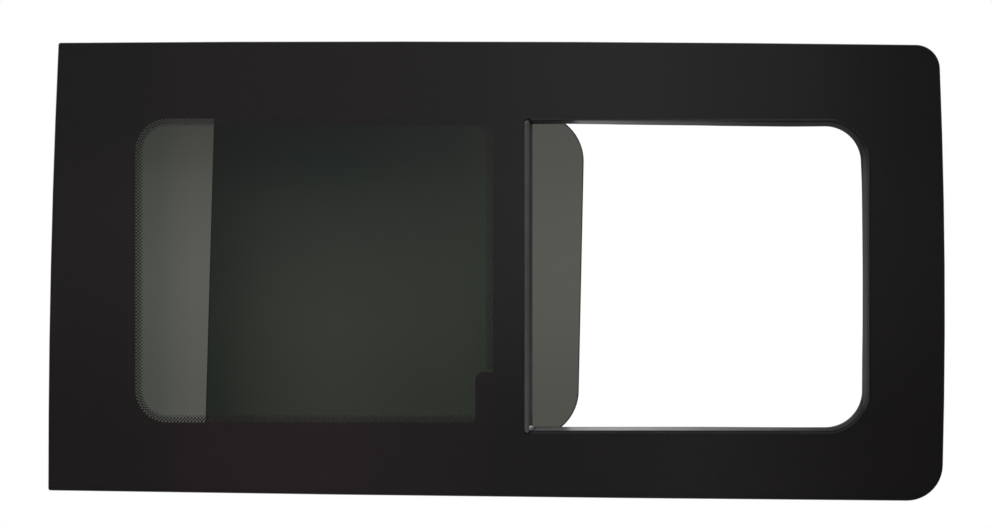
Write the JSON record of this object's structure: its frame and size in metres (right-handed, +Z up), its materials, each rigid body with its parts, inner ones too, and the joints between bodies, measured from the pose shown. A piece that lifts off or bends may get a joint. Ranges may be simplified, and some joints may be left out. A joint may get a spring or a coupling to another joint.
{
  "type": "van sliding window",
  "caption": "Bonded van side window: a black-bordered tinted outer pane with a fixed window and a vent opening, and a tinted pane sliding behind it in a channel frame.",
  "frame": {"origin": "on the bonding face, the plane y = 0 of the print's back, at half the length of the outer pane's bottom edge and 25 mm above its lowest corner, where the bonding line runs", "axes": "+X along the van to the front, at the vent opening's end; -Y outdoors, +Y into the van; +Z up"},
  "size_m": [1.1464, 0.0358, 0.5873],
  "materials": {
    "tinted_glass": "grey tinted toughened glass",
    "black_print": "fired black ceramic print",
    "rubber": "satin black rubber",
    "flock": "black flocked rubber",
    "frame_coat": "black powder coat on aluminium",
    "adhesive": "black polyurethane bead",
    "bare_aluminium": "mill finish",
    "hard_plastic": "black nylon",
    "catch_plastic": "black satin moulding"
  },
  "bodies": {
    "frame": {"outer_glass": "tinted_glass", "bonding_border": "black_print", "window_mask": "black_print", "opening_trim": "rubber", "centre_seal": "rubber", "top_rail": "frame_coat", "bottom_rail": "frame_coat", "front_jamb": "frame_coat", "rear_jamb": "frame_coat", "top_front_bend": "frame_coat", "bottom_front_bend": "frame_coat", "channel_liner": "flock", "adhesive_bed": "adhesive", "top_rear_cleat": "bare_aluminium", "bottom_rear_cleat": "bare_aluminium", "rail_joiners": "bare_aluminium", "top_open_stop": "rubber", "bottom_open_stop": "rubber", "catch_plate": "frame_coat", "catch_housing": "catch_plastic", "thumb_slide": "catch_plastic", "catch_bolt": "hard_plastic"},
    "sliding_pane": {"sliding_glass": "tinted_glass", "pane_carrier": "hard_plastic", "rear_bottom_shoe": "hard_plastic", "front_bottom_shoe": "hard_plastic", "rear_top_guide": "hard_plastic", "front_top_guide": "hard_plastic"}
  },
  "joints": [
    {"name": "pane_slide", "type": "slide", "parent": "frame", "child": "sliding_pane", "axis": [1, 0, 0], "range_m": [-0.063, 0.3757]}
  ]
}
